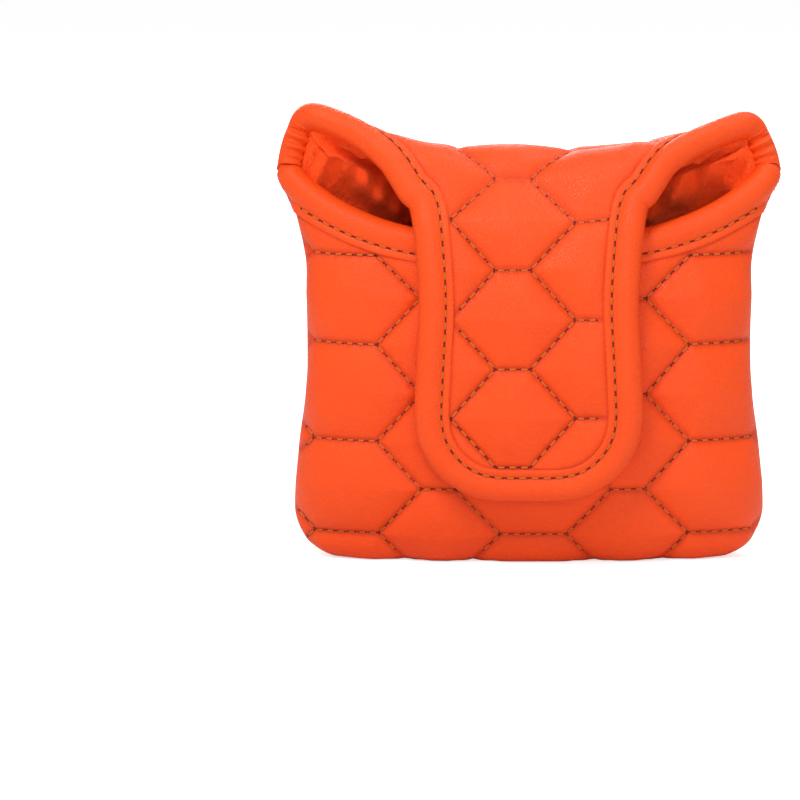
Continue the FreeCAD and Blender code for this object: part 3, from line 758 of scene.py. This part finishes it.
# Each leather sheet keeps its weight of painted shade on its points, for both of its copies.
for piece, seams, edge, x, q in ((cover["leather"], BAND_SEAMS, BAND_EDGE, band_x, band_q),
                                 (rear["leather"], BACK_SEAMS, BACK_EDGE, back_x, back_q)):
    seam_shade = piece.data.attributes.new("seam_shade", "FLOAT", "POINT")
    seam_shade.data.foreach_set("value", np.tile(shade(seams, edge, x, q), 2))
print("layers:", *(piece.name for piece in (*cover.values(), *rear.values())))

# %% [markdown]
# ## Rolled bindings
#
# A tape of leather is wrapped round a soft cord and round the raw edge, and one row of stitches
# holds both of its tails. Its section has the shape of a letter C whose arms lie on the panel. It
# is carried along the edge line: the arms follow the surface, point by point, and the round part
# is turned to stand square to the edge.

# %% The section of the tape, and its sweep
# (inwards from the edge, out from the middle of the panel), round the outside of the tape.
TAPE = rounded([(6.0, 2.62), (5.9, 2.98), (5.2, 3.12), (4.3, 2.98), (3.7, 2.62), (3.1, 2.95),
                (2.0, 3.42), (0.6, 3.72), (-1.2, 3.40), (-2.7, 2.35), (-3.5, 0.9), (-3.6, -0.9),
                (-2.7, -2.5), (-1.1, -3.5), (0.6, -3.8), (2.1, -3.5), (3.2, -3.0), (3.8, -2.75),
                (4.6, -3.0), (5.3, -3.0), (5.6, -2.55)], 44)


TAPE_THICK, CORD_RADIUS, RIPPLE = 0.9, 2.3, 2.3


def swept(surface, line, into, towards, section):
    """A section carried along an edge line. Its points inwards of the edge go by the surface;
    the others by the edge's own frame. Gives an array of points (along the line, section)."""
    t, out = section[:, 0][None], section[:, 1][None]
    inside = np.maximum(t, 0)
    x = line[:, :1] + into[:, :1] * inside
    q = line[:, 1:] + into[:, 1:] * inside
    x = np.clip(x, -half_width(q), half_width(q))
    normal = outward(surface, x, q, towards)
    points = surface(x, q) + normal * (out - SANDWICH / 2)[..., None]
    x0, q0 = line[:, 0], line[:, 1]
    n0 = outward(surface, x0, q0, towards)
    ahead = np.gradient(surface(x0, q0) - n0 * SANDWICH / 2, axis=0)
    across = np.cross(n0, ahead)
    across /= np.linalg.norm(across, axis=1, keepdims=True)
    probe = surface(np.clip(x0 + into[:, 0], -half_width(q0), half_width(q0)),
                    q0 + into[:, 1]) - surface(x0, q0)
    across *= np.sign(np.sum(across * probe, axis=1))[:, None]
    return points + across[:, None, :] * np.minimum(t, 0)[..., None]


def volume(points, faces):
    """Signed volume inside four-sided faces: positive if they point outwards."""
    a, b, c, d = (points[faces[:, k]] for k in range(4))
    return np.sum(a * (np.cross(b, c) + np.cross(c, d))) / 6


def closed_sweep(name, loops, material_used):
    """A mesh from loops of points (along, round): a tube whose ends are closed by quads between
    the first half of the loop and the second half."""
    n, m = loops.shape[:2]
    index = np.arange(n * m).reshape(n, m)
    around = np.concatenate([index, index[:, :1]], axis=1)
    faces = [grid_faces(around)]
    half = m // 2
    for row, way in ((index[0], -1), (index[-1], 1)):
        first, second = row[:half], row[half:][::-1]
        cap = np.stack([first[:-1], first[1:], second[1:], second[:-1]], -1)
        faces.append(cap[:, ::way])
    points, faces = loops.reshape(-1, 3), np.vstack(faces)
    if volume(points, faces) < 0:
        faces = faces[:, ::-1]
    return add_mesh(name, points, faces, material_used)


print("tape section:", len(TAPE), "points")

# %% [markdown]
# ## The two bindings
#
# The tape is a closed section: its outside, then its inside the other way round. The filler cord
# is a round section on the same line. Where the edge turns an ear's corner there is too much tape
# for the inside of the turn, so it puckers there.

# %% Bindings and filler cords
def binding(name, surface, line, into, towards, gather):
    """Tape and filler cord along an edge line. gather is how deep the tape is puckered, per
    point of the line: ripples 2.3 mm apart, on the side that faces the mouth."""
    section = np.vstack([TAPE, inner_side(TAPE)[::-1]])
    loops = swept(surface, line, into, towards, section)
    run = np.cumsum(np.linalg.norm(np.gradient(loops[:, 0], axis=0), axis=1))
    ripple = (gather * np.sin(run * 2 * np.pi / RIPPLE))[:, None] * ease(-TAPE[:, 1], -1.5, 2.0)
    centre = loops[:, :len(TAPE)].mean(axis=1, keepdims=True)
    away = loops[:, :len(TAPE)] - centre
    away /= np.linalg.norm(away, axis=-1, keepdims=True)
    loops[:, :len(TAPE)] += away * ripple[..., None]
    tape = closed_sweep(f"{name}_binding", loops, TAPE_LEATHER)
    ring = np.linspace(0, 2 * np.pi, 16, endpoint=False)
    round_section = CORD_RADIUS * np.stack([np.cos(ring), np.sin(ring)], -1) - [0.2, 0]
    cord_loops = swept(surface, line, into, towards, round_section)[::2]
    return tape, closed_sweep(f"{name}_filler", cord_loops, CORD_COTTON)


def inner_side(section):
    """The inside of the tape: its arms lie on the panel, and its round part is 0.9 mm thick."""
    t, out = section[:, 0], section[:, 1]
    long = np.hypot(t, out)
    arm = ease(t, 2.4, 3.4)
    flat = np.sign(out) * 2.5
    return np.stack([t * (1 - TAPE_THICK / long * (1 - arm)),
                     out * (1 - TAPE_THICK / long) * (1 - arm) + flat * arm], -1)


def corner_gather(line):
    """Puckers where the edge turns the ear's corner, none elsewhere."""
    x, q = np.abs(line[:, 0]), line[:, 1]
    return 0.75 * np.exp(-((x - 65.4) / 3.0) ** 2 - ((q - 115.0) / 6.0) ** 2)


rim_tape, rim_filler = binding("rim", band, BAND_EDGE, BAND_IN, 1, corner_gather(BAND_EDGE))
lip_tape, lip_filler = binding("lip", back, BACK_EDGE, BACK_IN, -1, 0 * BACK_EDGE[:, 0])

# %% [markdown]
# ## Stitches
#
# Each stitch is a short bent sausage: it comes up out of one hole and goes down into the next. A
# curve with a bevel could make them too, but hundreds of curves are slow, so all the stitches of
# a seam are one array: stitch, ring along it, point round the ring.

# %% Stitches along seams
QUILT_THREAD, TAPE_THREAD, TAPE_ROW = 0.36, 0.30, 3.75  # two thicknesses; the row's distance in


def sewn(name, surface, towards, start, end, height, width):
    """Stitches between places start and end (n, 2). The middle line rises as a half sine over
    the height that the leather has there. Both ends spread, to carry the painted shade of the
    hole they go into."""
    t = np.array([0.0, 0.05, 0.15, 0.26, 0.5, 0.74, 0.85, 0.95, 1.0])
    rings = len(t)
    place = start[:, None] * (1 - t)[:, None] + end[:, None] * t[:, None]
    x, q = place[..., 0], place[..., 1]
    normal = outward(surface, x, q, towards)
    rise = height(x, q) + width * (1.1 * np.sin(np.pi * t) - 0.3)
    line = surface(x, q) + normal * rise[..., None]
    ahead = np.gradient(line, axis=1)
    ahead /= np.linalg.norm(ahead, axis=-1, keepdims=True)
    side = np.cross(normal, ahead)
    thick = width * np.array([0.7, 1.15, 1.0, 0.85, 0.95, 0.85, 1.0, 1.15, 0.7])
    ring = np.linspace(0, 2 * np.pi, 6, endpoint=False)
    round_about = (normal[:, :, None] * np.cos(ring)[:, None] * 0.8
                   + side[:, :, None] * np.sin(ring)[:, None])
    points = line[:, :, None] + round_about * thick[:, None, None]
    n = len(points)
    index = np.arange(n * rings * 6).reshape(n, rings, 6)
    wrap = np.concatenate([index, index[:, :, :1]], axis=2)
    faces = np.stack([wrap[:, :-1, :-1], wrap[:, 1:, :-1], wrap[:, 1:, 1:], wrap[:, :-1, 1:]], -1)
    low, high = index[:, 0], index[:, -1]
    caps = [low[:, [0, 1, 2, 3]], low[:, [0, 3, 4, 5]],
            high[:, [3, 2, 1, 0]], high[:, [5, 4, 3, 0]]]
    uv = np.stack([np.broadcast_to(t[None, :, None], points.shape[:3]),
                   np.broadcast_to(ring / 6.3, points.shape[:3])], -1)
    return add_mesh(name, points.reshape(-1, 3), np.vstack([faces.reshape(-1, 4), *caps]),
                    THREAD, uv.reshape(-1, 2))


print("thread", 2 * QUILT_THREAD, "mm thick in the quilting and", 2 * TAPE_THREAD, "on the tape")

# %% [markdown]
# ## Where the stitches go
#
# A seam is cut into equal stitches first, and those that would run under the tape or off the
# sheet are left out. That keeps the pitch even right up to the edge.

# %% The four rows of thread
def stitch_ends(seams, allowed):
    """Ends of equal stitches along straight seams, keeping those whose ends are allowed."""
    starts, ends = [], []
    for xa, qa, xb, qb in seams:
        count = max(1, round(math.hypot(xb - xa, qb - qa) / PITCH))
        cut = np.linspace(0, 1, count + 1)[:, None]
        spot = np.array([xa, qa]) * (1 - cut) + np.array([xb, qb]) * cut
        starts.append(spot[:-1])
        ends.append(spot[1:])
    start, end = np.vstack(starts), np.vstack(ends)
    fine = allowed(start) & allowed(end)
    return start[fine], end[fine]


def on_band(place):
    """True for places of the band that the quilting reaches."""
    x, q = np.abs(place[:, 0]), place[:, 1]
    angle = np.arcsin(np.clip(x / half_width(q), 0, 1))
    ear = (x >= JOIN_X) & (q < ear_top(angle))
    tongue = (x < JOIN_X) & (q < TONGUE_END) & ((q < JOIN_Q) | (x < tongue_width(q)))
    clear = to_line(BAND_EDGE, place[:, 0], q) > STITCH_FROM
    return (q > 1) & (x < half_width(q) - 0.4) & (ear | tongue) & clear


def on_back(place):
    """True for places of the back panel that the quilting reaches."""
    x, q = np.abs(place[:, 0]), place[:, 1]
    return (q > 1) & (x < half_width(q) - 0.4) & (q < lip_height(x) - 6.0)


def along_edge(line, into, inset):
    """Ends of stitches along an edge line, a fixed distance inwards."""
    seam = line + into * inset
    run = np.concatenate([[0], np.cumsum(np.hypot(*np.diff(seam, axis=0).T))])
    cuts = np.linspace(0, run[-1], int(run[-1] / PITCH) + 1)
    spots = np.stack([np.interp(cuts, run, seam[:, k]) for k in range(2)], -1)
    return spots[3:-4], spots[4:-3]


def on_tape(x, q):
    """Height of the stitches over the panel where the tape's arm is pressed down."""
    return 0.22 + 0 * x


band_thread = sewn("band_quilting_thread", band, 1, *stitch_ends(BAND_SEAMS, on_band),
                   band_skin, QUILT_THREAD)
back_thread = sewn("back_quilting_thread_sewn", back, -1, *stitch_ends(BACK_SEAMS, on_back),
                   back_skin, QUILT_THREAD)
rim_thread = sewn("rim_binding_thread", band, 1, *along_edge(BAND_EDGE, BAND_IN, TAPE_ROW),
                  on_tape, TAPE_THREAD)
lip_thread = sewn("lip_binding_thread", back, -1, *along_edge(BACK_EDGE, BACK_IN, TAPE_ROW),
                  on_tape, TAPE_THREAD)

# %% [markdown]
# ## What moves with what
#
# The flap opens about a line across the hood. Everything on the band is one piece there, from the
# panel over the hood and down the flap; the binding and fleece of the ears reach up to 6.5 mm
# into the zone where the leather would bend. The band's pieces stay where they are built, with
# their transforms baked in, and the back panel's pieces are attached to the pouch. The plain
# pieces that each one stands for are hidden.

# %% Bodies, and the plain pieces that these stand for
def both(*names):
    """Left and right of names with a star."""
    return [n.replace("*", side) for n in names for side in ("left", "right")]


bending = {
    cover["leather"]: ("leather", ["front_shell", "hood_shell", "flap_shell"]),
    cover["foam"]: ("foam", ["front_padding", "hood_padding", "flap_padding"]),
    cover["fleece"]: ("fleece", ["front_lining", "hood_lining", "flap_lining"]),
    rim_tape: ("binding_leather", ["flap_binding", *both("hood_*_binding", "ear_*_binding")]),
    rim_filler: ("filler", ["flap_filler", *both("hood_*_filler", "ear_*_filler")]),
    band_thread: ("thread", ["front_quilting_thread", "hood_quilting_thread",
                             "flap_quilting_thread"]),
    rim_thread: ("thread", ["flap_binding_thread", "ear_binding_thread"]),
}
for piece, (slot, nodes) in bending.items():
    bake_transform(piece)
    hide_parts(*nodes)

fixed = {
    rear["leather"]: ("leather", ["back_shell"]),
    rear["foam"]: ("foam", ["back_padding"]),
    rear["fleece"]: ("fleece", ["back_lining"]),
    lip_tape: ("binding_leather", ["back_lip_binding"]),
    lip_filler: ("filler", ["back_lip_filler"]),
    back_thread: ("thread", ["back_quilting_thread"]),
    lip_thread: ("thread", ["back_lip_binding_thread"]),
}
for piece, (slot, nodes) in fixed.items():
    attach(piece, "pouch")
    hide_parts(*nodes)
print(len(bending) + len(fixed), "soft pieces")

# %% [markdown]
# ## Magnets and hidden threads
#
# The magnets in their sleeves and the thread of the side seams are hard or hidden, and their
# plain shapes are right as they are. They only need their finishes.

# %% Finishes of the plain pieces
NICKEL = plain_material("nickel_plate", (0.7, 0.68, 0.64), Metallic=1.0, Roughness=0.25)
SLEEVE = plain_material("sleeve_cloth", (0.03, 0.03, 0.03), Roughness=0.9)
SEAM_THREAD = plain_material("seam_thread", (0.4, 0.08, 0.02), Roughness=0.7)
finished = 0
for name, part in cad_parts.items():
    if "magnet" in name or name == "side_seam_thread":
        part.data.materials.clear()
        part.data.materials.append(SLEEVE if "sleeve" in name else
                                   NICKEL if "magnet" in name else SEAM_THREAD)
        finished += 1
print(finished, "plain pieces with a finish")

# %% [markdown]
# ## Floor, light and camera
#
# Orange leather shows its shape best in wide, soft light: a large lamp high on the left gives the
# folds their shading, a weaker one on the right opens the shadows, two more light the top and the
# back, and a pale surround fills in the rest. The camera is far away with a long lens, so that the
# near flap isn't enlarged.

# %% The stage
FAR = 9000
floor = add_mesh("floor", [(-FAR, -FAR, 0), (FAR, -FAR, 0), (FAR, FAR, 0), (-FAR, FAR, 0)],
                 [(0, 1, 2, 3)], plain_material("floor", (0.80, 0.80, 0.80), Roughness=0.9))
floor_tree = floor.data.materials[0].node_tree
floor_shader = floor_tree.nodes["Principled BSDF"]
floor_shader.inputs["Emission Color"].default_value = (1, 1, 1, 1)
facing = node(floor_tree, "ShaderNodeLightPath")
glow = node(floor_tree, "ShaderNodeMath", operation="MULTIPLY")
glow.inputs[1].default_value = 0.64
floor_tree.links.new(facing.outputs["Is Camera Ray"], glow.inputs[0])
floor_tree.links.new(glow.outputs[0], floor_shader.inputs["Emission Strength"])

world = bpy.data.worlds.new("studio")
world.use_nodes = True
surround = world.node_tree.nodes["Background"]
surround.inputs["Color"].default_value = (1, 1, 1, 1)
# The wall behind shows nearly white, but lights the cover less than that.
seen = node(world.node_tree, "ShaderNodeLightPath")
strength = node(world.node_tree, "ShaderNodeMapRange", To_Min=0.42, To_Max=0.94)
world.node_tree.links.new(seen.outputs["Is Camera Ray"], strength.inputs["Value"])
world.node_tree.links.new(strength.outputs["Result"], surround.inputs["Strength"])
bpy.context.scene.world = world
bpy.context.scene.view_settings.view_transform = "Standard"


def lamp(name, place, size, power):
    """A square soft lamp that looks at the middle of the cover."""
    light = bpy.data.lights.new(name, "AREA")
    light.size, light.energy = size, power
    made = bpy.data.objects.new(name, light)
    collection.objects.link(made)
    made.location = place
    aim = np.array([0, 0, 0.06]) - np.array(place)
    yaw = math.atan2(aim[1], aim[0]) - math.pi / 2
    pitch = math.atan2(aim[2], math.hypot(aim[0], aim[1])) + math.pi / 2
    made.rotation_euler = (pitch, 0, yaw)
    return made


lamp("key", (-0.5, -0.9, 1.4), 0.5, 16.5)
lamp("front", (0.35, -1.5, 0.60), 0.7, 6.0)
lamp("top", (0.5, 0.3, 1.4), 0.6, 8.0)
lamp("back", (-0.3, 1.6, 0.8), 0.8, 12.0)

camera = bpy.data.objects.new("camera", bpy.data.cameras.new("camera"))
collection.objects.link(camera)
DISTANCE, LOOK_DOWN = 0.80, math.radians(8.0)
camera.location = (0, -DISTANCE * math.cos(LOOK_DOWN), 0.063 + DISTANCE * math.sin(LOOK_DOWN))
camera.rotation_euler = (math.pi / 2 - LOOK_DOWN, 0, 0)
camera.data.lens = 129.6
camera.data.shift_x, camera.data.shift_y = -0.161, -0.085
bpy.context.scene.camera = camera
print("4 lamps, and a camera", DISTANCE, "m away with a", camera.data.lens, "mm lens")
